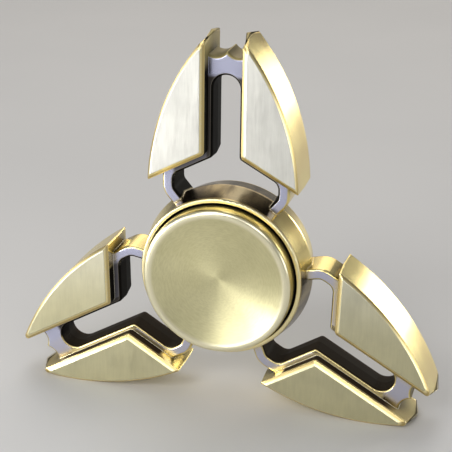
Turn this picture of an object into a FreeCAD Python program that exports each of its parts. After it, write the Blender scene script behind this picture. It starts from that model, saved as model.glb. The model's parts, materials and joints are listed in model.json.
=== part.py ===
import FreeCAD, Part
import math
import os

# Three-arm claw spinner standing on two of its arms.
# The model is drawn flat, with the spin axis along +Z and the arms in the XY plane, and is
# turned upright at the end, so that the spin axis is Y and the front finger pad faces -Y.
# All lengths are in millimetres and all angles in degrees.

# Layout
ARM_ANGLES = (90, 210, 330)
BALL_COUNT = 7

# The casting's drafted walls are fullest at the parting plane, at mid depth.
PARTING_HALF = 0.2

# Blades: two mirrored horn shapes on each arm, u runs outward along the arm, v across it.
# The outline is that of the wall's end, where the bevel of the face begins.
BLADE_HALF_DEPTH = 4.7
BLADE_INNER_V = 3.05
BLADE_TIP_U = 38.8
BLADE_NOSE_LEAN = 0.15
BLADE_NOSE_WIDTH = 0.7
BLADE_HEEL_U = 20.65
BLADE_BASE_U = 15.45
BLADE_BASE_V = 12.6
BLADE_BULGE = 2.0
BLADE_CORNER_REACH = 0.35
BLADE_BEVEL_DEPTH = 0.45
BLADE_INNER_BEVEL_WIDTH = 0.75
BLADE_OUTER_BEVEL_WIDTH = 0.45
BLADE_NOSE_BEVEL_WIDTH = 1.3
BLADE_FACE_CORNER_REACH = 0.12
BLADE_NOSE_DRAFT = 1.25
BLADE_REAR_NOSE_GROWTH = 0.5
BLADE_INNER_DRAFT = 0.15

# Web: the thinner plate that carries the blades, set back from their front faces
WEB_FRONT_Z = 2.4
WEB_REAR_Z = -3.8
WEB_EDGE_RADIUS = 0.5
WINDOW_PARTING_Z = -0.4
WINDOW_DRAFT = 0.12
WINDOW_REAR_GROWTH = 0.25
SLOT_HALF_WIDTH = 2.25
SLOT_END_U = 33.5
FLARE_LEDGE = 1.2
FLARE_KNEE_RADIUS = 0.8
LEG_INNER_V = 8.75
LEG_WIDTH = 1.95
LEG_KNEE_U = 13.8
LEG_SLOPE = 41
LEG_INNER_RADIUS = 1.3
LEG_CORNER_RADIUS = 1.6
LEG_REACH = 6.0
WEB_BURIED_U = 18.65
WEB_BURIED_V = 4.55
WEB_BURIED_RADIUS = 3.0
BRIDGE_SHOULDER_U = 34.6
BRIDGE_FOOT_U = 35.6
BRIDGE_FOOT_RADIUS = 0.5
BRIDGE_ROOT = 0.35
BRIDGE_END_U = 38.1
BRIDGE_REAR_Z = -2.9
SCALLOP_RADIUS = 2.2
SCALLOP_U = 38.6
SCALLOP_V = 1.88
CUSP_RADIUS = 0.2

# Hub: a double-tapered drum, widest at mid depth
HUB_HALF_DEPTH = 4.8
HUB_FACE_RADIUS = 13.6
HUB_RIDGE_RADIUS = 14.5
HUB_EDGE_RADIUS = 0.35
PAD_POCKET_RADIUS = 12.95

# Ball bearing, size 608
BEARING_RADIUS = 11.0
BEARING_HALF_WIDTH = 3.5
BEARING_BORE_RADIUS = 4.0
BALL_RADIUS = 1.9845
BALL_PITCH_RADIUS = 7.5
BALL_CLEARANCE = 0.06
GROOVE_RADIUS = 2.1
INNER_LAND_RADIUS = 6.0
OUTER_LAND_RADIUS = 9.0
RACE_CHAMFER = 0.3
SHIELD_SEAT_RADIUS = 9.7
SHIELD_SEAT_Z = 2.85
SHIELD_THICKNESS = 0.25
SHIELD_BORE_RADIUS = 6.35
SHIELD_STEP_RADIUS = 8.6
SHIELD_STEP_HEIGHT = 0.15
RING_GROOVE_RADIUS = 9.95
RING_GROOVE_Z = 3.12
RING_THICKNESS = 0.25
RING_INNER_RADIUS = 9.4
RING_GAP = 24
CAGE_INNER_RADIUS = 6.75
CAGE_OUTER_RADIUS = 8.25
CAGE_SHEET = 0.35
CAGE_POCKET_RADIUS = 2.1
RIVET_RADIUS = 0.3
RIVET_HEAD_RADIUS = 0.5
RIVET_HEAD_HEIGHT = 0.22

# Finger pads: dished caps with a post that enters the bearing
PAD_RADIUS = 12.5
PAD_UNDERSIDE_Z = 4.0
PAD_CROWN_Z = 7.35
PAD_RIM_ROLL = 0.7
PAD_RIM_LAND = 0.25
PAD_DISH_CENTRE_Z = 5.6
PAD_CENTRE_FLAT = 0.4
PAD_UNDER_CHAMFER = 0.3
PAD_BOSS_RADIUS = 5.6
PAD_POST_END_Z = 0.1
STUD_RADIUS = 2.5
STUD_HALF_LENGTH = 3.6
STUD_SOCKET_ACROSS = 2.5
STUD_SOCKET_DEPTH = 1.6

# Working values: how far a cutter overshoots a face, and what counts as the same place
MARGIN = 1.0
NEAR = 1e-4

ORIGIN = FreeCAD.Vector(0, 0, 0)
Z_AXIS = FreeCAD.Vector(0, 0, 1)
X_AXIS = FreeCAD.Vector(1, 0, 0)


def point(x, y, z=0.0):
    return FreeCAD.Vector(x, y, z)


def stand_up(shape):
    """Turn a shape drawn flat so that its +Z face becomes the front, at -Y."""
    upright = shape.copy()
    upright.rotate(ORIGIN, X_AXIS, 90)
    return upright


def turned(shape, angle):
    copy = shape.copy()
    copy.rotate(ORIGIN, Z_AXIS, angle)
    return copy


def flipped(shape):
    """The same piece on the rear side of the bearing."""
    copy = shape.copy()
    copy.rotate(ORIGIN, X_AXIS, 180)
    return copy


def rounded_outline(corners):
    """Closed wire through (x, y, radius) corners, each corner rounded by a tangent arc."""
    edges = []
    count = len(corners)
    arcs = []
    for i in range(count):
        x, y, radius = corners[i]
        here = point(x, y)
        before = point(*corners[i - 1][:2])
        after = point(*corners[(i + 1) % count][:2])
        to_before = (before - here).normalize()
        to_after = (after - here).normalize()
        if radius == 0:
            arcs.append((here, None, here))
            continue
        half = to_before.getAngle(to_after) / 2
        reach = radius / math.tan(half)
        bisector = (to_before + to_after).normalize()
        middle = here + bisector * (radius / math.sin(half) - radius)
        arcs.append((here + to_before * reach, middle, here + to_after * reach))
    for i in range(count):
        start, middle, end = arcs[i]
        if middle is not None:
            edges.append(Part.Arc(start, middle, end).toShape())
        following = arcs[(i + 1) % count][0]
        if end.distanceToPoint(following) > NEAR:
            edges.append(Part.LineSegment(end, following).toShape())
    return Part.Wire(edges)


def slab(wire, z_low, z_high):
    """Solid of a flat outline between two depths."""
    face = Part.Face(wire)
    face.translate(point(0, 0, z_low))
    return face.extrude(point(0, 0, z_high - z_low))


def drafted(sections):
    """Solid whose wall runs straight from one (wire, z) section to the next."""
    wires = []
    for wire, z in sections:
        level = wire.copy()
        level.translate(point(0, 0, z))
        wires.append(level)
    return Part.makeLoft(wires, True, True)


def disc(radius, z_low, z_high):
    return Part.makeCylinder(radius, z_high - z_low, point(0, 0, z_low))


def tube(inner, outer, z_low, z_high):
    return disc(outer, z_low, z_high).cut(disc(inner, z_low - MARGIN, z_high + MARGIN))


def turned_profile(points):
    """Solid of revolution about the spin axis of a closed (radius, z) outline."""
    vertices = [point(r, 0, z) for r, z in points]
    wire = Part.makePolygon(vertices + vertices[:1])
    return Part.Face(wire).revolve(ORIGIN, Z_AXIS, 360)


def level_edges(shape, z):
    """Edges that lie flat at one depth."""
    found = []
    for edge in shape.Edges:
        box = edge.BoundBox
        if abs(box.ZMin - z) < NEAR and abs(box.ZMax - z) < NEAR:
            found.append(edge)
    return found


def upright_edges(shape, x, y):
    """Edges parallel to the depth that stand at one place."""
    found = []
    for edge in shape.Edges:
        box = edge.BoundBox
        if max(box.XLength, box.YLength, math.hypot(box.Center.x - x, box.Center.y - y)) < NEAR:
            found.append(edge)
    return found


def line_meets_circle(start, direction, centre, radius):
    """Crossing of a line and a circle that lies furthest along the line's direction."""
    offset = start - centre
    along = offset.dot(direction)
    square = along ** 2 - offset.dot(offset) + radius ** 2
    return start + direction * (math.sqrt(square) - along)


def lines_meet(start, direction, other_start, other_direction):
    """Crossing of two flat lines."""
    gap = other_start - start
    turn = direction.x * other_direction.y - direction.y * other_direction.x
    reach = (gap.x * other_direction.y - gap.y * other_direction.x) / turn
    return start + direction * reach


def blade_outline(inner_out, outer_out, nose_out, corner_reach):
    """Outline of a blade whose sides are moved outward; the base moves with the inner side."""
    tip = point(BLADE_TIP_U, BLADE_INNER_V)
    nose = point(BLADE_TIP_U + BLADE_NOSE_LEAN, BLADE_INNER_V + BLADE_NOSE_WIDTH)
    heel = point(BLADE_HEEL_U, BLADE_INNER_V)
    base = point(BLADE_BASE_U, BLADE_BASE_V)
    chord = nose - base
    half_chord = chord.Length / 2
    radius = (half_chord ** 2 + BLADE_BULGE ** 2) / (2 * BLADE_BULGE)
    across = point(chord.y, -chord.x).normalize()
    centre = (nose + base) * 0.5 + across * (radius - BLADE_BULGE)

    rise = (nose - tip).normalize()
    fall = (base - heel).normalize()
    inner_start = heel - point(0, inner_out)
    base_start = heel + point(-fall.y, fall.x) * inner_out
    nose_start = tip + point(rise.y, -rise.x) * nose_out
    tip = lines_meet(inner_start, point(1, 0), nose_start, rise)
    heel = lines_meet(inner_start, point(1, 0), base_start, fall)
    base = line_meets_circle(base_start, fall, centre, radius + outer_out)
    nose = line_meets_circle(nose_start, rise, centre, radius + outer_out)

    base_run = point(base.y - centre.y, centre.x - base.x).normalize()
    nose_run = point(centre.y - nose.y, nose.x - centre.x).normalize()
    crest = centre + ((base + nose) * 0.5 - centre).normalize() * (radius + outer_out)
    corners = [
        (tip, rise, point(-1, 0)),
        (heel, point(1, 0), fall),
        (base, fall * -1, base_run),
        (nose, nose_run, rise * -1),
    ]
    edges = []
    last = None
    ends = []
    for corner, back, ahead in corners:
        inward = (back + ahead) * 0.5
        middle = corner + inward * (corner_reach / (1 + inward.Length))
        ends.append((corner + back * corner_reach, middle, corner + ahead * corner_reach))
    for index, (start, middle, end) in enumerate(ends):
        following = ends[(index + 1) % len(ends)][0]
        edges.append(Part.Arc(start, middle, end).toShape())
        if corners[index][0] is base:
            edges.append(Part.Arc(end, crest, following).toShape())
        else:
            edges.append(Part.LineSegment(end, following).toShape())
    return Part.Wire(edges)


def blade():
    """One horn-shaped blade, on the +v side of an arm that points along +X."""
    face = blade_outline(
        -BLADE_INNER_BEVEL_WIDTH,
        -BLADE_OUTER_BEVEL_WIDTH,
        -BLADE_NOSE_BEVEL_WIDTH,
        BLADE_FACE_CORNER_REACH,
    )
    front_wall = blade_outline(0, 0, 0, BLADE_CORNER_REACH)
    rear_wall = blade_outline(0, 0, BLADE_REAR_NOSE_GROWTH, BLADE_CORNER_REACH)
    parting = blade_outline(BLADE_INNER_DRAFT, 0, BLADE_NOSE_DRAFT, BLADE_CORNER_REACH)
    wall_z = BLADE_HALF_DEPTH - BLADE_BEVEL_DEPTH
    return drafted([
        (face, -BLADE_HALF_DEPTH),
        (rear_wall, -wall_z),
        (parting, -PARTING_HALF),
        (parting, PARTING_HALF),
        (front_wall, wall_z),
        (face, BLADE_HALF_DEPTH),
    ])


def flare_corner(v, ledge):
    """Distance u of the window's flared edge at height v, a ledge away from the blade's base."""
    run = BLADE_BASE_U - BLADE_HEEL_U
    rise = BLADE_BASE_V - BLADE_INNER_V
    length = math.hypot(run, rise)
    u_start = BLADE_HEEL_U - ledge * rise / length
    v_start = BLADE_INNER_V + ledge * run / length
    return u_start + (v - v_start) * run / rise


def mirrored(corners):
    """A half outline at +v, followed by its mirror image at -v."""
    return corners + [(u, -v, radius) for u, v, radius in reversed(corners)]


def web_outline():
    """Outside of one arm's web: legs, the part hidden in the blades, and the blunt tip."""
    slope = math.radians(LEG_SLOPE)
    outer_v = LEG_INNER_V + LEG_WIDTH
    outer_knee_u = LEG_KNEE_U - LEG_WIDTH * math.tan(slope / 2)
    bridge_v = BLADE_INNER_V + BRIDGE_ROOT
    return mirrored([
        (outer_knee_u - LEG_REACH * math.cos(slope), outer_v - LEG_REACH * math.sin(slope), 0),
        (outer_knee_u, outer_v, LEG_INNER_RADIUS + LEG_WIDTH),
        (WEB_BURIED_U, outer_v, WEB_BURIED_RADIUS),
        (BRIDGE_SHOULDER_U, WEB_BURIED_V, 2 * BRIDGE_FOOT_RADIUS),
        (BRIDGE_FOOT_U, bridge_v, BRIDGE_FOOT_RADIUS),
        (BRIDGE_END_U, bridge_v, 0),
    ])


def window_outline(growth):
    """Opening of one arm: a slot between the blades that flares out towards the hub."""
    slope = math.radians(LEG_SLOPE)
    slot_v = SLOT_HALF_WIDTH + growth
    ledge = FLARE_LEDGE - growth
    return mirrored([
        (
            LEG_KNEE_U - LEG_REACH * math.cos(slope),
            LEG_INNER_V - LEG_REACH * math.sin(slope),
            0,
        ),
        (LEG_KNEE_U, LEG_INNER_V, LEG_INNER_RADIUS),
        (flare_corner(LEG_INNER_V, ledge), LEG_INNER_V, LEG_CORNER_RADIUS),
        (flare_corner(slot_v, ledge), slot_v, FLARE_KNEE_RADIUS),
        (SLOT_END_U + growth, slot_v, slot_v),
    ])


def window():
    """Cutter for one arm's window, tightest at the parting plane."""
    rear_steepness = (WINDOW_REAR_GROWTH + WINDOW_DRAFT) / (WINDOW_PARTING_Z - WEB_REAR_Z)
    front_steepness = WINDOW_DRAFT / (WEB_FRONT_Z - WINDOW_PARTING_Z)
    rear_growth = WINDOW_REAR_GROWTH + rear_steepness * MARGIN
    return drafted([
        (rounded_outline(window_outline(rear_growth)), WEB_REAR_Z - MARGIN),
        (rounded_outline(window_outline(-WINDOW_DRAFT)), WINDOW_PARTING_Z),
        (rounded_outline(window_outline(front_steepness * MARGIN)), WEB_FRONT_Z + MARGIN),
    ])


def web_arm():
    """Web of one arm along +X, with its window, the scalloped tip bridge and rounded edges."""
    plate = slab(rounded_outline(web_outline()), WEB_REAR_Z, WEB_FRONT_Z)
    plate = plate.cut(window())
    for side in (1, -1):
        centre = point(SCALLOP_U, side * SCALLOP_V, WEB_REAR_Z)
        plate = plate.cut(Part.makeCylinder(SCALLOP_RADIUS, WEB_FRONT_Z - WEB_REAR_Z, centre))
    cusp_u = SCALLOP_U - math.sqrt(SCALLOP_RADIUS ** 2 - SCALLOP_V ** 2)
    plate = plate.makeFillet(CUSP_RADIUS, upright_edges(plate, cusp_u, 0))
    open_edges = []
    for z in (WEB_FRONT_Z, WEB_REAR_Z):
        for edge in level_edges(plate, z):
            centre = edge.BoundBox.Center
            if math.hypot(centre.x, centre.y) > BEARING_RADIUS:
                open_edges.append(edge)
    plate = plate.makeFillet(WEB_EDGE_RADIUS, open_edges)
    relief_depth = BRIDGE_REAR_Z - WEB_REAR_Z
    relief_length = BRIDGE_END_U - BRIDGE_SHOULDER_U
    relief_corner = point(BRIDGE_SHOULDER_U, -WEB_BURIED_V, WEB_REAR_Z)
    return plate.cut(Part.makeBox(relief_length, 2 * WEB_BURIED_V, relief_depth, relief_corner))


def hub_drum():
    """Solid drum that tapers from the ridge at mid depth to both faces."""
    drum = turned_profile([
        (0, -HUB_HALF_DEPTH),
        (HUB_FACE_RADIUS, -HUB_HALF_DEPTH),
        (HUB_RIDGE_RADIUS, -PARTING_HALF),
        (HUB_RIDGE_RADIUS, PARTING_HALF),
        (HUB_FACE_RADIUS, HUB_HALF_DEPTH),
        (0, HUB_HALF_DEPTH),
    ])
    rims = level_edges(drum, -HUB_HALF_DEPTH) + level_edges(drum, HUB_HALF_DEPTH)
    return drum.makeFillet(HUB_EDGE_RADIUS, rims)


def claw_frame():
    """The one-piece casting: hub, three webs and six blades, bored for the bearing and pads."""
    frame = hub_drum()
    arm = web_arm()
    horn = blade()
    mirror_horn = horn.mirror(ORIGIN, point(0, 1, 0))
    for angle in ARM_ANGLES:
        for piece in (arm, horn, mirror_horn):
            frame = frame.fuse(turned(piece, angle))
    seat_end = HUB_HALF_DEPTH + MARGIN
    frame = frame.cut(disc(BEARING_RADIUS, -seat_end, seat_end))
    pocket = disc(PAD_POCKET_RADIUS, BEARING_HALF_WIDTH, seat_end)
    frame = frame.cut(pocket)
    frame = frame.cut(flipped(pocket))
    return frame.removeSplitter()


def raceway(radius_of_centre):
    """Ring-shaped tool that cuts the ball groove in a race."""
    return Part.makeTorus(radius_of_centre, GROOVE_RADIUS)


def bearing_outer_race():
    c = RACE_CHAMFER
    w = BEARING_HALF_WIDTH
    half = [
        (OUTER_LAND_RADIUS, 0),
        (OUTER_LAND_RADIUS, SHIELD_SEAT_Z),
        (SHIELD_SEAT_RADIUS, SHIELD_SEAT_Z),
        (SHIELD_SEAT_RADIUS, RING_GROOVE_Z),
        (RING_GROOVE_RADIUS, RING_GROOVE_Z),
        (RING_GROOVE_RADIUS, RING_GROOVE_Z + RING_THICKNESS),
        (SHIELD_SEAT_RADIUS, RING_GROOVE_Z + RING_THICKNESS),
        (SHIELD_SEAT_RADIUS, w),
        (BEARING_RADIUS - c, w),
        (BEARING_RADIUS, w - c),
    ]
    outline = half + [(r, -z) for r, z in reversed(half) if z > 0]
    groove_bottom = BALL_PITCH_RADIUS + BALL_RADIUS + BALL_CLEARANCE
    return turned_profile(outline).cut(raceway(groove_bottom - GROOVE_RADIUS))


def bearing_inner_race():
    c = RACE_CHAMFER
    w = BEARING_HALF_WIDTH
    outline = [
        (BEARING_BORE_RADIUS + c, w),
        (INNER_LAND_RADIUS - c / 2, w),
        (INNER_LAND_RADIUS, w - c / 2),
        (INNER_LAND_RADIUS, c / 2 - w),
        (INNER_LAND_RADIUS - c / 2, -w),
        (BEARING_BORE_RADIUS + c, -w),
        (BEARING_BORE_RADIUS, c - w),
        (BEARING_BORE_RADIUS, w - c),
    ]
    groove_bottom = BALL_PITCH_RADIUS - BALL_RADIUS - BALL_CLEARANCE
    return turned_profile(outline).cut(raceway(groove_bottom + GROOVE_RADIUS))


def ball_places():
    """Ball centres, evenly spaced round the pitch circle."""
    places = []
    for index in range(BALL_COUNT):
        angle = math.radians(90 + 360 * index / BALL_COUNT)
        places.append(point(BALL_PITCH_RADIUS * math.cos(angle), BALL_PITCH_RADIUS * math.sin(angle)))
    return places


def rivet_places():
    """Middle of each gap between neighbouring balls."""
    places = []
    for index in range(BALL_COUNT):
        angle = math.radians(90 + 360 * (index + 0.5) / BALL_COUNT)
        places.append(point(BALL_PITCH_RADIUS * math.cos(angle), BALL_PITCH_RADIUS * math.sin(angle)))
    return places


def cage_half():
    """Pressed ribbon on the +Z side: a flat ring with a domed pocket over each ball."""
    ribbon = tube(CAGE_INNER_RADIUS, CAGE_OUTER_RADIUS, 0, CAGE_SHEET)
    band = tube(CAGE_INNER_RADIUS, CAGE_OUTER_RADIUS, 0, 2 * CAGE_POCKET_RADIUS)
    for place in ball_places():
        dome = Part.makeSphere(CAGE_POCKET_RADIUS + CAGE_SHEET, place)
        ribbon = ribbon.fuse(dome.common(band))
    for place in ball_places():
        ribbon = ribbon.cut(Part.makeSphere(CAGE_POCKET_RADIUS, place))
    for place in rivet_places():
        ribbon = ribbon.cut(Part.makeCylinder(RIVET_RADIUS, CAGE_SHEET, place))
    return ribbon.removeSplitter()


def cage_rivets():
    """The rivets that hold the two cage halves together, as one group."""
    rivets = []
    for place in rivet_places():
        shank = Part.makeCylinder(RIVET_RADIUS, 2 * CAGE_SHEET, place - point(0, 0, CAGE_SHEET))
        for side in (1, -1):
            start = place + point(0, 0, side * CAGE_SHEET)
            direction = point(0, 0, side)
            shank = shank.fuse(Part.makeCone(
                RIVET_HEAD_RADIUS, RIVET_RADIUS, RIVET_HEAD_HEIGHT, start, direction
            ))
        rivets.append(shank.removeSplitter())
    return Part.makeCompound(rivets)


def bearing_shield():
    """Pressed disc on the +Z side, stepped outwards near its rim."""
    t = SHIELD_THICKNESS
    low = SHIELD_SEAT_Z
    step = SHIELD_STEP_HEIGHT
    return turned_profile([
        (SHIELD_BORE_RADIUS, low + step),
        (SHIELD_STEP_RADIUS, low + step),
        (SHIELD_STEP_RADIUS + step, low),
        (SHIELD_SEAT_RADIUS, low),
        (SHIELD_SEAT_RADIUS, low + t),
        (SHIELD_STEP_RADIUS + step, low + t),
        (SHIELD_STEP_RADIUS, low + t + step),
        (SHIELD_BORE_RADIUS, low + t + step),
    ])


def shield_snap_ring():
    """Open wire ring that holds a shield in the outer race, on the +Z side."""
    top = RING_GROOVE_Z + RING_THICKNESS
    ring = tube(RING_INNER_RADIUS, RING_GROOVE_RADIUS, RING_GROOVE_Z, top)
    reach = 2 * RING_GROOVE_RADIUS
    half_gap = reach * math.tan(math.radians(RING_GAP / 2))
    wedge = Part.makePolygon([
        point(0, 0, RING_GROOVE_Z),
        point(-half_gap, -reach, RING_GROOVE_Z),
        point(half_gap, -reach, RING_GROOVE_Z),
        point(0, 0, RING_GROOVE_Z),
    ])
    return ring.cut(Part.Face(wedge).extrude(point(0, 0, RING_THICKNESS)))


def dish_and_rim():
    """Edges of the rolled rim, with its narrow flat land, and of the dish, flat at its centre."""
    up = point(0, 0, 1)
    shoulder_centre = point(PAD_RADIUS - PAD_RIM_ROLL, 0, PAD_CROWN_Z - PAD_RIM_ROLL)
    lip_centre = shoulder_centre - point(PAD_RIM_LAND, 0)
    drop = PAD_DISH_CENTRE_Z - lip_centre.z
    square = lip_centre.x ** 2 + drop ** 2 - PAD_RIM_ROLL ** 2
    dish_radius = square / (2 * (PAD_RIM_ROLL - drop))
    dish_centre = point(0, 0, PAD_DISH_CENTRE_Z + dish_radius)
    outward = (lip_centre - dish_centre).normalize()
    lip_end = lip_centre - outward * PAD_RIM_ROLL

    wall_top = shoulder_centre + point(PAD_RIM_ROLL, 0)
    shoulder = shoulder_centre + (point(1, 0) + up).normalize() * PAD_RIM_ROLL
    land_outer = shoulder_centre + up * PAD_RIM_ROLL
    land_inner = lip_centre + up * PAD_RIM_ROLL
    lip = lip_centre + (up - outward).normalize() * PAD_RIM_ROLL
    dish_middle = dish_centre + (outward - up).normalize() * dish_radius
    flat_angle = math.asin(PAD_CENTRE_FLAT / dish_radius)
    flat_end = dish_centre + point(math.sin(flat_angle), 0, -math.cos(flat_angle)) * dish_radius
    return [
        Part.Arc(wall_top, shoulder, land_outer).toShape(),
        Part.LineSegment(land_outer, land_inner).toShape(),
        Part.Arc(land_inner, lip, lip_end).toShape(),
        Part.Arc(lip_end, dish_middle, flat_end).toShape(),
        Part.LineSegment(flat_end, point(0, 0, flat_end.z)).toShape(),
        Part.LineSegment(point(0, 0, flat_end.z), point(0, 0, PAD_POST_END_Z)).toShape(),
    ]


def finger_pad():
    """Dished cap on the +Z side, with a boss on the inner race and a threaded hollow post."""
    lower = [
        (0, PAD_POST_END_Z),
        (BEARING_BORE_RADIUS - RACE_CHAMFER, PAD_POST_END_Z),
        (BEARING_BORE_RADIUS, PAD_POST_END_Z + RACE_CHAMFER),
        (BEARING_BORE_RADIUS, BEARING_HALF_WIDTH),
        (PAD_BOSS_RADIUS, BEARING_HALF_WIDTH),
        (PAD_BOSS_RADIUS, PAD_UNDERSIDE_Z),
        (PAD_RADIUS - PAD_UNDER_CHAMFER, PAD_UNDERSIDE_Z),
        (PAD_RADIUS, PAD_UNDERSIDE_Z + PAD_UNDER_CHAMFER),
        (PAD_RADIUS, PAD_CROWN_Z - PAD_RIM_ROLL),
    ]
    path = [point(r, 0, z) for r, z in lower]
    edges = [Part.LineSegment(a, b).toShape() for a, b in zip(path, path[1:])]
    pad = Part.Face(Part.Wire(edges + dish_and_rim())).revolve(ORIGIN, Z_AXIS, 360)
    return pad.cut(disc(STUD_RADIUS, 0, STUD_HALF_LENGTH))


def pad_stud():
    """Headless screw that pulls the two pads together through the bearing bore."""
    stud = disc(STUD_RADIUS, -STUD_HALF_LENGTH, STUD_HALF_LENGTH)
    hexagon = []
    for degrees in range(0, 360, 60):
        angle = math.radians(degrees)
        radius = STUD_SOCKET_ACROSS / math.sqrt(3)
        hexagon.append(point(radius * math.cos(angle), radius * math.sin(angle), STUD_HALF_LENGTH))
    outline = Part.makePolygon(hexagon + hexagon[:1])
    socket = Part.Face(outline).extrude(point(0, 0, -STUD_SOCKET_DEPTH))
    return stud.cut(socket)


def all_parts():
    parts = {
        "claw_frame": claw_frame(),
        "bearing_outer_race": bearing_outer_race(),
        "bearing_inner_race": bearing_inner_race(),
        "cage_front_half": cage_half(),
        "cage_rear_half": cage_half().mirror(ORIGIN, Z_AXIS),
        "cage_rivets": cage_rivets(),
        "front_shield": bearing_shield(),
        "rear_shield": flipped(bearing_shield()),
        "front_snap_ring": shield_snap_ring(),
        "rear_snap_ring": flipped(shield_snap_ring()),
        "front_finger_pad": finger_pad(),
        "rear_finger_pad": flipped(finger_pad()),
        "pad_stud": pad_stud(),
    }
    for number, place in enumerate(ball_places(), start=1):
        parts[f"bearing_ball_{number}"] = Part.makeSphere(BALL_RADIUS, place)
    return parts


def main():
    os.makedirs("parts", exist_ok=True)
    for name, shape in all_parts().items():
        upright = stand_up(shape)
        if not upright.isValid():
            raise ValueError(f"{name} is not a valid shape")
        upright.exportStep(f"parts/{name}.step")
        print(name, "solids", len(upright.Solids), "volume", round(upright.Volume, 1))


main()
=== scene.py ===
import json
import math
from types import SimpleNamespace

import bpy
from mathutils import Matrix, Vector


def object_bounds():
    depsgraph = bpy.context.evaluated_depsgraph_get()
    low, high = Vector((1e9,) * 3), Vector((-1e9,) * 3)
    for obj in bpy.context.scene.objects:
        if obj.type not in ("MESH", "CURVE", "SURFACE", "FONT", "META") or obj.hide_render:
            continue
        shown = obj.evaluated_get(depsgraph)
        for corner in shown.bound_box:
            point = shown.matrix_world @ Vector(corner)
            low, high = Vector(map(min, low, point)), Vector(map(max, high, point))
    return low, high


# A three-arm claw spinner of antique brass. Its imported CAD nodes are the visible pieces,
# and this script gives them their finishes, a pale floor, studio light and a camera.
# The casting, the pads and their shader graphs are measured in millimetres from the
# bearing's centre, and the floor, lamps and camera in metres.

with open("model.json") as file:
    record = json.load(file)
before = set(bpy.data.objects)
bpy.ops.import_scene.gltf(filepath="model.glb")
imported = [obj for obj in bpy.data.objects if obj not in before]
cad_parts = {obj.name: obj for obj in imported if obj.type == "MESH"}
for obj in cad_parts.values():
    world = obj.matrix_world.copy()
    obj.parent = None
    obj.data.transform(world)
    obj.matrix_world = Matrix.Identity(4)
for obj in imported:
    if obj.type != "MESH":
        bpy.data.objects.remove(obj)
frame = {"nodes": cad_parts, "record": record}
cad_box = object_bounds()

MM = 0.001
ARM_ANGLES = (90, 210, 330)
LEFT_ARM_ANGLE = 210

# The casting's shape: along an arm, across it, and by depth from the middle plane
BLADE_FACE = 4.7
BEVEL_START = 4.25
WEB_LEVEL = 4.0
HUB_RIDGE_RADIUS = 14.5
HUB_TAPER = 0.196
POCKET_RADIUS = 12.95
HEEL_ALONG = 20.65
HEEL_ACROSS = 3.05
BASE_ALONG = 15.45
BASE_ACROSS = 12.6
LEDGE_WIDTH = 1.2
SLOT_END = 33.5
LEG_MIDDLE = 9.7
LEG_KNEE = 13.4
LEG_STEEPNESS = 0.87

# Spans over which a mask grows from 0 to 1, from the first distance to the second. A span
# that goes down is for a mask that grows as its distance shrinks.
OFF_HUB = (HUB_RIDGE_RADIUS + 0.1, HUB_RIDGE_RADIUS + 0.4)
IN_POCKET = (POCKET_RADIUS + 0.05, POCKET_RADIUS - 0.1)
ON_TOP_ARM = (8.0, 9.0)
LEFT_OF_HUB = (-7.0, -8.0)
ABOVE_LEFT_ARM = (0.0, 1.0)
BELOW_BEVEL = (BEVEL_START + 0.1, BEVEL_START - 0.05)
OUTER_BEVEL = (4.4, 4.58)
ON_FACE = (BLADE_FACE - 0.06, BLADE_FACE - 0.01)
DOWN_AT_WEB = (WEB_LEVEL + 0.1, WEB_LEVEL)
SLOT_SIDES = (3.3, 3.15)
SLOT_START = (18.6, 19.4)
BEFORE_SLOT_END = (SLOT_END + 0.2, SLOT_END - 0.6)
SLOT_MOUTH = (34.0, 36.5)
SLOT_EDGES = (3.4, 3.2)
BELOW_SLOT_EDGES = (4.5, 4.3)
PAST_BASE = (-0.2, -0.1)
ON_LEDGE = (LEDGE_WIDTH + 0.3, LEDGE_WIDTH + 0.1)
SHORT_OF_LEG = (9.2, 8.4)
LEG_START = (0.9, 1.1)
INSIDE_LEG = (0.3, -0.3)
DEEP_IN_HOLLOW = (4.3, 3.7)
DEEP_IN_SHADED_HOLLOW = (4.35, 4.2)
HOLLOW_FLOOR = (3.6, 2.0)
INNER_DRUM = (9.5, 7.5)
UP_THE_OBJECT = (-12.0, 20.0)

# The finger pads' spans, by radius and by depth
OUT_OF_CENTRE = (1.5, 4.0)
PAD_RIM = (10.8, 11.4)
PAD_SIDE = (12.3, 12.45)
PAD_UNDERSIDE = (5.2, 4.3)

# Spans of other measures: how squarely a surface faces front or back, how open it is to
# its surroundings, how near its rounded normal is to its own, and how high a noise is
FLAT = (0.6, 0.95)
LEVEL = (0.93, 0.99)
RECESSED = (0.95, 0.4)
AT_FOOT = (0.85, 0.55)
ON_EDGE = (0.995, 0.93)
NOISE = (0.3, 0.7)
CLOUDY = (0.35, 0.65)
PAD_CLOUDY = (0.35, 0.7)
STAINS_AND_REFLECTIONS = (0.38, 0.66)
WHOLE = (0.0, 1.0)

# Linear colours of the plating, and of the light and shade painted on it
# The faces are painted pale high up and olive low down: painted light, for the top arm in bright
# light and the lower arms in shade
FACE_LIT_PALE = (0.82, 0.81, 0.74)
FACE_SHADED_OLIVE = (0.61, 0.57, 0.36)
WALL_GOLD = (0.97, 0.82, 0.36)
WALL_DEEP = (0.88, 0.7, 0.3)
BEVEL_GOLD = (0.95, 0.85, 0.55)
BEVEL_DEEP = (0.6, 0.46, 0.2)
# Pale edges: part wear and part painted highlight
EDGE_WEAR_AND_HIGHLIGHT = (0.97, 0.93, 0.78)
# The drum's brown and dark patches are part stain and part painted reflection of dark
# surroundings
DRUM_BROWN = (0.34, 0.28, 0.17)
DRUM_DARK_STAIN_AND_REFLECTION = (0.13, 0.1, 0.06)
# Hollow and shadow colours: the slot, base and leg walls and the pad's pocket are painted dark
# brown and black as shade
HOLLOW_SHADE_BROWN = (0.035, 0.022, 0.014)
WEB_GREY = (0.56, 0.57, 0.73)
# The ledges' dark is painted shade beside the walls
LEDGE_DARK = (0.06, 0.052, 0.045)
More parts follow.
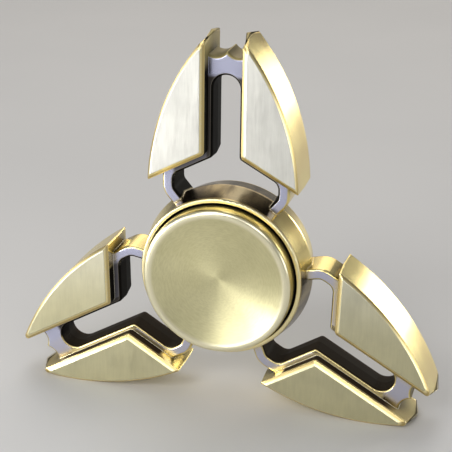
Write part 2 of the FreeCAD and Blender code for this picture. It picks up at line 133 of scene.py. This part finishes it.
# Near-black brown, painted as shade in the recesses, hollows and under the pads
SHADE_DARK = (0.02, 0.014, 0.008)
SHADOW_BLACK = (0.006, 0.005, 0.004)
PAD_GOLD = (0.76, 0.71, 0.42)
PAD_SHADE = (0.68, 0.63, 0.36)
PAD_OLIVE = (0.56, 0.52, 0.27)
# The pad's rim is painted cream as a highlight
RIM_CREAM_HIGHLIGHT = (0.92, 0.86, 0.6)

# Brightness of the faces, which their two noises add up to
STREAK_SHADE = (0.96, 1.02)
CLOUD_SHADE = (-0.08, 0.04)

# Strengths of the masks, from 0 to 1, and of the wear and painted highlight on the edges
# Strengths of the painted shade on the ledges, elsewhere and on the side in shade
LEDGE_STRENGTH = 0.15
SHADED_LEDGE_STRENGTH = 0.85
SLOT_MOUTH_STRENGTH = 0.55
HUB_SHADE = 0.15
ARM_SHADE = 0.8
WEB_SHADE_LOST = 0.75
EDGE_WEAR_AND_HIGHLIGHT_STRENGTH = 0.6
PAD_CLOUD_STRENGTH = 0.3
PAD_UNDERSIDE_SHADE = 0.85

# Roughness: one number where it is even, and two where a noise varies it
BEVEL_ROUGH = 0.3
WALL_ROUGH = (0.2, 0.27)
FACE_ROUGH = (0.31, 0.4)
WEB_ROUGH = 0.26
DULL_ROUGH = 0.6
DISH_ROUGH = (0.3, 0.37)
RIM_ROUGH = 0.28
LEDGE_DULLNESS = 0.7
SHINY_SPECULAR = 0.5
DULL_SPECULAR = 0.05

# How far the shaders look for neighbours, how far they round the casting's edges, and
# the depth and strength of the bumps
OCCLUSION_REACH = 5.0
EDGE_ROUNDING = 0.16
BUMP_DEPTH = 0.02
CASTING_BUMP = 0.16
PAD_BUMP = 0.18
STEEL_BUMP = 0.1
PLAIN_GRAIN_HEIGHT = 0.04
FINE_GRAIN_HEIGHT = 0.3

# The pad's dish is turned on a lathe. Its grooves run round the centre and stretch each
# reflection a quarter turn from themselves, which makes a fan.
DISH_ANISOTROPY = 0.6
QUARTER_TURN = 0.25

# Noises: patches to a millimetre, with a number for each axis where they are stretched.
# The dish's arcs have theirs by radius, angle in radians, and depth.
CLOUD_PATCHES = 0.16
STAIN_AND_REFLECTION_PATCHES = (0.3, 0.1, 0.3)
STREAK_PATCHES = (3.6, 1.0, 0.3)
GRAIN_PATCHES = 5.0
FINE_PATCHES = (7.2, 6.0, 6.0)
PAD_CLOUD_PATCHES = 0.15
SPECKLE_PATCHES = 3.5
ARC_PATCHES = (5.0, 9.0, 1.0)
MOTTLE_PATCHES = 1.3
SCRATCH_PATCHES = (7.2, 0.6, 7.2)

# The hidden steels: light and dark colour, least and greatest roughness
STEELS = {
    "stud_steel": ((0.2, 0.2, 0.21), (0.1, 0.1, 0.1), (0.35, 0.5)),
    "race_steel": ((0.7, 0.71, 0.73), (0.6, 0.6, 0.62), (0.12, 0.25)),
    "cage_steel": ((0.6, 0.6, 0.59), (0.48, 0.48, 0.47), (0.3, 0.45)),
    "shield_steel": ((0.64, 0.64, 0.63), (0.5, 0.5, 0.49), (0.25, 0.4)),
    "ball_steel": ((0.78, 0.79, 0.8), (0.72, 0.72, 0.74), (0.04, 0.1)),
}

# The surroundings, in metres and watts
FLOOR_HALF_WIDTH = 3.0
FLOOR_ROUGH = 0.6
FLOOR_COLOURS = ((0.6, 0.6, 0.6), (0.66, 0.655, 0.65))
FLOOR_PATCHES = 14.0
SKY_COLOUR = (0.62, 0.63, 0.66, 1.0)
SKY_STRENGTH = 0.35
SOFTBOX_SPREAD = math.radians(120)
WHITE = (1.0, 1.0, 1.0)
WARM_WHITE = (1.0, 0.96, 0.86)
WARM = (1.0, 0.88, 0.7)
SOFTBOXES = {
    "front_card": {"start": (-0.121, -0.091, -0.007), "size": (0.095, 0.04), "power": 0.064},
    "front_low": {"start": (-0.32, -0.62, 0.06), "size": (0.30, 0.16), "power": 0.28},
    "front_high": {"start": (-0.20, -0.60, 0.50), "size": (0.4, 0.25), "power": 0.78},
    "high_right": {"start": (0.24, -0.57, 0.34), "size": (0.3, 0.2), "power": 0.32},
    "left_side": {"start": (-0.60, 0.06, 0.08), "size": (0.3, 0.2), "power": 0.22},
    "right_side": {"start": (0.55, -0.22, 0.06), "size": (0.25, 0.2), "power": 0.2},
    "rim_back_right": {
        "start": (0.36, 0.62, 0.08), "size": (0.22, 0.18), "power": 0.39, "colour": WARM_WHITE,
    },
    "top": {"start": (-0.12, 0.32, 0.72), "size": (0.5, 0.5), "power": 0.65},
    "warm_back": {
        "start": (-0.15, 0.60, 0.35), "size": (0.7, 0.35), "power": 0.5, "colour": WARM,
    },
}

# The camera: its place and aim in metres, its roll in degrees, its lens in millimetres
CAMERA_PLACE = (0.0557, -0.2, 0.0894)
CAMERA_AIM = (-0.00107, 0.0023, 0.00625)
CAMERA_ROLL = 0.8
LENS_LENGTH = 107.6
SENSOR_WIDTH = 36.0
NEAREST_SEEN = 0.01


class Graph:
    """Short names for building one material's nodes."""

    def __init__(self, name):
        self.material = bpy.data.materials.new(name)
        self.material.use_nodes = True
        self.tree = self.material.node_tree
        self.tree.nodes.clear()
        self.shader = self.node("ShaderNodeBsdfPrincipled")
        output = self.node("ShaderNodeOutputMaterial")
        self.link(self.shader.outputs["BSDF"], output.inputs["Surface"])

    def node(self, kind, **settings):
        made = self.tree.nodes.new(kind)
        for key, value in settings.items():
            setattr(made, key, value)
        return made

    def link(self, start, end):
        self.tree.links.new(start, end)

    def shade(self, socket_name, value):
        """Give the shader a plain value, or the output of another node."""
        self.feed(self.shader.inputs[socket_name], value)

    def feed(self, socket, value):
        if isinstance(value, bpy.types.NodeSocket):
            self.link(value, socket)
        elif isinstance(value, tuple) and len(value) == 3 and socket.type == "RGBA":
            socket.default_value = (*value, 1.0)
        else:
            socket.default_value = value

    def math(self, operation, first, second=0.0, third=0.0):
        made = self.node("ShaderNodeMath", operation=operation)
        for socket, value in zip(made.inputs, (first, second, third)):
            self.feed(socket, value)
        return made.outputs[0]

    def invert(self, mask):
        return self.math("SUBTRACT", 1.0, mask)

    def both(self, *masks):
        joined = masks[0]
        for mask in masks[1:]:
            joined = self.math("MULTIPLY", joined, mask)
        return joined

    def either(self, *masks):
        joined = masks[0]
        for mask in masks[1:]:
            joined = self.math("MAXIMUM", joined, mask)
        return joined

    def vector(self, operation, first, second=(0.0, 0.0, 0.0)):
        made = self.node("ShaderNodeVectorMath", operation=operation)
        self.feed(made.inputs[0], first)
        self.feed(made.inputs[1], second)
        return made.outputs["Value" if operation in ("DOT_PRODUCT", "LENGTH") else "Vector"]

    def scaled(self, vector, factor):
        made = self.node("ShaderNodeVectorMath", operation="SCALE")
        self.feed(made.inputs[0], vector)
        self.feed(made.inputs["Scale"], factor)
        return made.outputs["Vector"]

    def split(self, vector):
        made = self.node("ShaderNodeSeparateXYZ")
        self.link(vector, made.inputs[0])
        return made.outputs

    def join(self, x, y, z):
        made = self.node("ShaderNodeCombineXYZ")
        for socket, value in zip(made.inputs, (x, y, z)):
            self.feed(socket, value)
        return made.outputs[0]

    def step(self, value, span, start=0.0, end=1.0):
        """Smooth change from start to end as value goes over the span, up or down."""
        made = self.node("ShaderNodeMapRange", interpolation_type="SMOOTHSTEP")
        for socket, number in zip(made.inputs, (value, *span, start, end)):
            self.feed(socket, number)
        return made.outputs[0]

    def blend(self, factor, first, second):
        """Colour between first and second, which are sockets 6 and 7 of a Mix node."""
        made = self.node("ShaderNodeMix", data_type="RGBA")
        self.feed(made.inputs["Factor"], factor)
        self.feed(made.inputs[6], first)
        self.feed(made.inputs[7], second)
        return made.outputs[2]

    def between(self, factor, first, second):
        """Number between first and second, which are sockets 2 and 3 of a Mix node."""
        made = self.node("ShaderNodeMix", data_type="FLOAT")
        for socket, value in zip(made.inputs[0:1] + made.inputs[2:4], (factor, first, second)):
            self.feed(socket, value)
        return made.outputs[0]

    def noise(self, place, patches, detail=2.0, roughness=0.5):
        """Noise with so many patches to each unit of place, or with a number for each axis."""
        made = self.node("ShaderNodeTexNoise")
        if isinstance(patches, tuple):
            place = self.vector("MULTIPLY", place, patches)
            patches = 1.0
        self.link(place, made.inputs["Vector"])
        made.inputs["Scale"].default_value = patches
        made.inputs["Detail"].default_value = detail
        made.inputs["Roughness"].default_value = roughness
        return made.outputs["Fac"]

    def bump(self, height, strength, normal=None):
        made = self.node("ShaderNodeBump")
        made.inputs["Strength"].default_value = strength
        made.inputs["Distance"].default_value = BUMP_DEPTH * MM
        self.feed(made.inputs["Height"], height)
        if normal is not None:
            self.link(normal, made.inputs["Normal"])
        return made.outputs[0]

    def place(self):
        """Place on the piece in millimetres, and its surface normal, in the row frame."""
        coordinates = self.node("ShaderNodeTexCoord")
        millimetres = self.scaled(coordinates.outputs["Object"], 1 / MM)
        return millimetres, coordinates.outputs["Normal"]


def arm_place(g, place, radius):
    """Distance along the nearest arm, and across it from its middle line."""
    reaches = []
    for degrees in ARM_ANGLES:
        angle = math.radians(degrees)
        reaches.append(g.vector("DOT_PRODUCT", place, (math.cos(angle), 0.0, math.sin(angle))))
    along = g.either(*reaches)
    radius_square = g.math("MULTIPLY", radius, radius)
    across_square = g.math("SUBTRACT", radius_square, g.math("MULTIPLY", along, along))
    return along, g.math("SQRT", g.math("MAXIMUM", across_square, 0.0))


def beyond_base(g, along, across):
    """Distance from the slanted base line of a blade, positive towards the hub."""
    run = BASE_ALONG - HEEL_ALONG
    rise = BASE_ACROSS - HEEL_ACROSS
    length = math.hypot(run, rise)
    inward = g.math("MULTIPLY", g.math("SUBTRACT", along, HEEL_ALONG), -rise / length)
    return g.math("MULTIPLY_ADD", g.math("SUBTRACT", across, HEEL_ACROSS), run / length, inward)


def inside_leg(g, along, across, base):
    """Mask for the inner half of a leg, whose middle bends inwards from its knee to the hub."""
    past_knee = g.math("MAXIMUM", g.math("SUBTRACT", LEG_KNEE, along), 0.0)
    middle = g.math("SUBTRACT", LEG_MIDDLE, g.math("MULTIPLY", past_knee, LEG_STEEPNESS))
    return g.both(g.step(g.math("SUBTRACT", across, middle), INSIDE_LEG), g.step(base, LEG_START))


def casting_regions(g):
    """Where a point is on the casting: distances in millimetres, and masks from 0 to 1."""
    place, normal = g.place()
    x, y, z = g.split(place)
    radius = g.vector("LENGTH", g.join(x, 0.0, z))
    depth = g.math("ABSOLUTE", y)
    along, across = arm_place(g, place, radius)
    off_hub = g.step(g.math("MULTIPLY_ADD", depth, HUB_TAPER, radius), OFF_HUB)

    # The top arm and the upper blade of the left arm are the side in shade: their ledges and
    # hollows get darker painted shade
    left_arm = math.radians(LEFT_ARM_ANGLE)
    over_left_arm = g.vector("DOT_PRODUCT", place, (math.sin(left_arm), 0.0, -math.cos(left_arm)))
    left_upper = g.both(g.step(over_left_arm, ABOVE_LEFT_ARM), g.step(x, LEFT_OF_HUB))
    top_arm = g.step(z, ON_TOP_ARM)
    shaded_side = g.either(top_arm, left_upper)

    facing = g.math("ABSOLUTE", g.split(normal)[1])
    level = g.step(facing, LEVEL)
    upright = g.invert(g.between(shaded_side, g.step(facing, FLAT), level))
    return SimpleNamespace(
        place=place,
        z=z,
        depth=depth,
        along=along,
        across=across,
        base=beyond_base(g, along, across),
        off_hub=off_hub,
        pocket=g.step(radius, IN_POCKET),
        top_arm=top_arm,
        shaded_side=shaded_side,
        wall=g.both(upright, off_hub),
        below_bevel=g.step(depth, BELOW_BEVEL),
        face=g.both(g.step(depth, ON_FACE), off_hub),
        web=g.both(level, off_hub, g.step(depth, DOWN_AT_WEB)),
    )


def dark_regions(g, on):
    """Masks for the walls of the slots, bases and legs and for the ledges, which are painted dark
    as shade.
    """
    in_slot = g.both(g.step(on.across, SLOT_SIDES), g.step(on.along, SLOT_START))
    by_base = g.both(
        g.step(on.base, PAST_BASE), g.step(on.base, ON_LEDGE), g.step(on.across, SHORT_OF_LEG)
    )
    # Ledges by the bases and in the slots are painted dark as shade, darker on the side in shade
    base_ledge = g.both(by_base, g.between(on.shaded_side, LEDGE_STRENGTH, SHADED_LEDGE_STRENGTH))
    slot_ledge = g.both(in_slot, g.step(on.along, BEFORE_SLOT_END))
    ledge = g.both(on.web, g.either(slot_ledge, base_ledge))

    slot_wall = g.both(in_slot, g.step(on.along, SLOT_MOUTH, 1.0, SLOT_MOUTH_STRENGTH))
    leg_wall = inside_leg(g, on.along, on.across, on.base)
    deep = g.step(on.depth, DEEP_IN_HOLLOW)
    deep = g.between(on.shaded_side, deep, g.step(on.depth, DEEP_IN_SHADED_HOLLOW))
    hollow = g.both(g.either(slot_wall, by_base, leg_wall), on.wall, on.below_bevel, deep)
    return g.either(hollow, on.pocket), ledge


def casting_noises(g, place):
    """Noises of the casting's surface; the streaks run up and down, as brushing leaves them."""
    return SimpleNamespace(
        clouds=g.noise(place, CLOUD_PATCHES, detail=3),
        stains_and_reflections=g.noise(place, STAIN_AND_REFLECTION_PATCHES, detail=3),
        streaks=g.noise(place, STREAK_PATCHES, detail=3, roughness=0.65),
        grain=g.noise(place, GRAIN_PATCHES, detail=3),
        fine=g.noise(place, FINE_PATCHES),
    )


def plating_colour(g, on, noises, ledge):
    """Colour of the faces, bevels, walls, drum, webs and ledges, before the painted shade and the
    pale edges. Faces are painted paler up the object as light, the drum has dark stains and
    painted reflections, and the ledges are painted dark as shade.
    """
    streak_shade = g.step(noises.streaks, NOISE, *STREAK_SHADE)
    cloud_shade = g.step(noises.clouds, NOISE, *CLOUD_SHADE)
    # Painted light: the faces go from olive low down to pale high up, lit above and shaded below
    face = g.blend(g.step(on.z, UP_THE_OBJECT), FACE_SHADED_OLIVE, FACE_LIT_PALE)
    face = g.scaled(face, g.math("ADD", streak_shade, cloud_shade))
    # The drum's dark patches are part stain and part painted reflection
    drum = g.blend(g.step(noises.stains_and_reflections, STAINS_AND_REFLECTIONS), DRUM_BROWN, DRUM_DARK_STAIN_AND_REFLECTION)
    drum_inside = g.both(g.invert(on.off_hub), g.step(on.across, INNER_DRUM))
    wall = g.blend(g.step(noises.clouds, CLOUDY), WALL_DEEP, WALL_GOLD)
    wall = g.blend(drum_inside, wall, drum)
    bevel = g.blend(g.step(noises.grain, NOISE), WALL_GOLD, BEVEL_GOLD)
    bevel = g.blend(g.step(on.depth, OUTER_BEVEL), BEVEL_DEEP, bevel)
    colour = g.blend(on.below_bevel, bevel, wall)
    colour = g.blend(on.face, colour, face)
    colour = g.blend(on.web, colour, WEB_GREY)
    return g.blend(ledge, colour, LEDGE_DARK)


def with_painted_shade(g, on, colour, hollow):
    """Gold at the feet of the walls, and painted shade: dark in the recesses and black in the
    hollows.
    """
    occlusion = g.node("ShaderNodeAmbientOcclusion", samples=8, only_local=True)
    occlusion.inputs["Distance"].default_value = OCCLUSION_REACH * MM
    openness = occlusion.outputs["AO"]
    foot = g.both(on.web, g.invert(on.shaded_side), g.step(openness, AT_FOOT))
    colour = g.blend(foot, colour, WALL_DEEP)
    # Painted shade: darker where the occlusion finds the surface enclosed, weaker on the hub and
    # the webs
    recess = g.both(
        g.step(openness, RECESSED),
        g.between(on.off_hub, HUB_SHADE, ARM_SHADE),
        g.invert(g.math("MULTIPLY", on.web, WEB_SHADE_LOST)),
    )
    colour = g.blend(recess, colour, SHADE_DARK)
    # Painted shade: the hollows are dark brown, darker deeper in, and black on the side in shade
    # and in the pocket round the pad
    hollow_colour = g.blend(g.step(on.depth, HOLLOW_FLOOR), HOLLOW_SHADE_BROWN, SHADE_DARK)
    shadow_black_places = g.either(on.shaded_side, on.pocket)
    return g.blend(hollow, colour, g.blend(shadow_black_places, hollow_colour, SHADOW_BLACK))


def with_worn_and_highlit_edges(g, on, colour, rounded_normal):
    """Pale metal on the edges, part wear from handling and part painted highlight, apart from
    those of the top slot.
    """
    geometry = g.node("ShaderNodeNewGeometry")
    straightness = g.vector("DOT_PRODUCT", rounded_normal, geometry.outputs["True Normal"])
    slot_edge = g.both(g.step(on.across, SLOT_EDGES), g.step(on.depth, BELOW_SLOT_EDGES))
    strength = g.step(g.both(on.top_arm, slot_edge), WHOLE, EDGE_WEAR_AND_HIGHLIGHT_STRENGTH, 0.0)
    return g.blend(g.both(g.step(straightness, ON_EDGE), strength), colour, EDGE_WEAR_AND_HIGHLIGHT)


def cast_brass():
    """The casting: satin faces painted paler up the object as light, polished bevels and walls,
    grey webs, recesses and hollows painted dark as shade, and pale edges that are part wear and
    part painted highlight.
    """
    g = Graph("antique_brass")
    on = casting_regions(g)
    hollow, ledge = dark_regions(g, on)
    noises = casting_noises(g, on.place)
    rounded = g.node("ShaderNodeBevel", samples=6)
    rounded.inputs["Radius"].default_value = EDGE_ROUNDING * MM
    rounded_normal = rounded.outputs["Normal"]

    colour = plating_colour(g, on, noises, ledge)
    colour = with_painted_shade(g, on, colour, hollow)
    g.shade("Base Color", with_worn_and_highlit_edges(g, on, colour, rounded_normal))

    # The painted-shade hollows and ledges are made dull and unmetallic so they stay dark
    dull = g.either(hollow, g.math("MULTIPLY", ledge, LEDGE_DULLNESS))
    rough = g.between(on.below_bevel, BEVEL_ROUGH, g.step(noises.clouds, NOISE, *WALL_ROUGH))
    rough = g.between(on.face, rough, g.step(noises.streaks, NOISE, *FACE_ROUGH))
    rough = g.between(on.web, rough, WEB_ROUGH)
    g.shade("Roughness", g.between(dull, rough, DULL_ROUGH))
    g.shade("Specular IOR Level", g.between(dull, SHINY_SPECULAR, DULL_SPECULAR))
    g.shade("Metallic", g.invert(dull))

    brushed = g.math("MULTIPLY_ADD", noises.fine, FINE_GRAIN_HEIGHT, noises.streaks)
    height = g.between(on.face, g.math("MULTIPLY", noises.grain, PLAIN_GRAIN_HEIGHT), brushed)
    g.shade("Normal", g.bump(height, CASTING_BUMP, rounded_normal))
    return g.material


def turned_brass():
    """The finger pads: a finely turned satin dish, a polished rolled rim painted cream as a
    highlight, and an underside darkened as painted shade.
    """
    g = Graph("pad_brass")
    place, _ = g.place()
    x, y, z = g.split(place)
    radius = g.vector("LENGTH", g.join(x, 0.0, z))
    round_place = g.join(radius, g.math("ARCTAN2", z, x), y)
    arcs = g.noise(round_place, ARC_PATCHES, roughness=0.6)
    speckle = g.noise(place, SPECKLE_PATCHES, detail=3, roughness=0.7)
    grain = g.between(g.step(radius, OUT_OF_CENTRE), speckle, arcs)
    clouds = g.noise(place, PAD_CLOUD_PATCHES)
    rim = g.step(radius, PAD_RIM)
    # Painted shade: the pad's underside inside the pocket is darkened
    underside = g.step(g.math("ABSOLUTE", y), PAD_UNDERSIDE, 0.0, PAD_UNDERSIDE_SHADE)

    colour = g.blend(g.step(grain, NOISE), PAD_SHADE, PAD_GOLD)
    colour = g.blend(g.step(clouds, PAD_CLOUDY, 0.0, PAD_CLOUD_STRENGTH), colour, PAD_OLIVE)
    # Painted highlight: cream on the rolled rim
    colour = g.blend(rim, colour, RIM_CREAM_HIGHLIGHT)
    colour = g.blend(g.step(radius, PAD_SIDE), colour, WALL_GOLD)
    g.shade("Base Color", g.blend(underside, colour, SHADE_DARK))
    g.shade("Roughness", g.between(rim, g.step(grain, NOISE, *DISH_ROUGH), RIM_ROUGH))
    g.shade("Normal", g.bump(grain, PAD_BUMP))
    g.shade("Metallic", 1.0)
    g.shade("Anisotropic", DISH_ANISOTROPY)
    g.shade("Anisotropic Rotation", QUARTER_TURN)
    g.shade("Tangent", g.node("ShaderNodeTangent", direction_type="RADIAL", axis="Y").outputs[0])
    return g.material


def plain_steel(name, light, dark, rough):
    """A steel with faint mottling in its colour and gloss."""
    g = Graph(name)
    place, _ = g.place()
    mottle = g.noise(place, MOTTLE_PATCHES, detail=4, roughness=0.6)
    scratches = g.noise(place, SCRATCH_PATCHES, detail=3)
    g.shade("Base Color", g.blend(g.step(mottle, NOISE), dark, light))
    g.shade("Roughness", g.step(scratches, NOISE, *rough))
    g.shade("Normal", g.bump(scratches, STEEL_BUMP))
    g.shade("Metallic", 1.0)
    return g.material


def dress_nodes():
    """Give every CAD node the finish that its material slot names."""
    finishes = {name: plain_steel(name, *look) for name, look in STEELS.items()}
    finishes["antique_brass"] = cast_brass()
    finishes["pad_brass"] = turned_brass()
    slots = {entry["node"]: entry["material_slot"] for entry in frame["record"]["subparts"]}
    for name, node in frame["nodes"].items():
        for slot in node.material_slots:
            slot.material = finishes[slots[name]]


def add_floor():
    """A pale floor under the object's lowest point."""
    g = Graph("pale_floor")
    coordinates = g.node("ShaderNodeTexCoord")
    clouds = g.noise(coordinates.outputs["Object"], FLOOR_PATCHES)
    g.shade("Base Color", g.blend(clouds, *FLOOR_COLOURS))
    g.shade("Roughness", FLOOR_ROUGH)
    half = FLOOR_HALF_WIDTH
    mesh = bpy.data.meshes.new("floor")
    corners = [(-half, -half, 0), (half, -half, 0), (half, half, 0), (-half, half, 0)]
    mesh.from_pydata(corners, [], [(0, 1, 2, 3)])
    mesh.materials.append(g.material)
    floor = bpy.data.objects.new("floor", mesh)
    floor.location.z = cad_box[0][2]
    bpy.context.scene.collection.objects.link(floor)


def aim(thing, start, target):
    """Put a lamp or camera at start, looking at target with its top upwards."""
    direction = Vector(target) - Vector(start)
    thing.rotation_euler = direction.to_track_quat("-Z", "Y").to_euler()
    thing.location = start


def add_softbox(name, start, size, power, colour=WHITE):
    """A rectangular lamp that looks at the object and that the camera doesn't see."""
    lamp = bpy.data.lights.new(name, "AREA")
    lamp.shape = "RECTANGLE"
    lamp.size, lamp.size_y = size
    lamp.energy = power
    lamp.spread = SOFTBOX_SPREAD
    lamp.color = colour
    holder = bpy.data.objects.new(name, lamp)
    holder.visible_camera = False
    bpy.context.scene.collection.objects.link(holder)
    aim(holder, start, (0.0, 0.0, 0.0))


def add_world():
    """Soft, even light from all around."""
    world = bpy.data.worlds.new("studio")
    bpy.context.scene.world = world
    world.use_nodes = True
    background = world.node_tree.nodes["Background"]
    background.inputs["Color"].default_value = SKY_COLOUR
    background.inputs["Strength"].default_value = SKY_STRENGTH


def add_camera():
    """A camera at the photograph's viewing angle."""
    lens = bpy.data.cameras.new("camera")
    lens.sensor_width = SENSOR_WIDTH
    lens.lens = LENS_LENGTH
    lens.clip_start = NEAREST_SEEN
    camera = bpy.data.objects.new("camera", lens)
    bpy.context.scene.collection.objects.link(camera)
    aim(camera, CAMERA_PLACE, CAMERA_AIM)
    camera.rotation_euler.rotate_axis("Z", math.radians(CAMERA_ROLL))
    bpy.context.scene.camera = camera


dress_nodes()
add_floor()
add_world()
for name, settings in SOFTBOXES.items():
    add_softbox(name, **settings)
add_camera()
bpy.context.scene.view_settings.view_transform = "Standard"
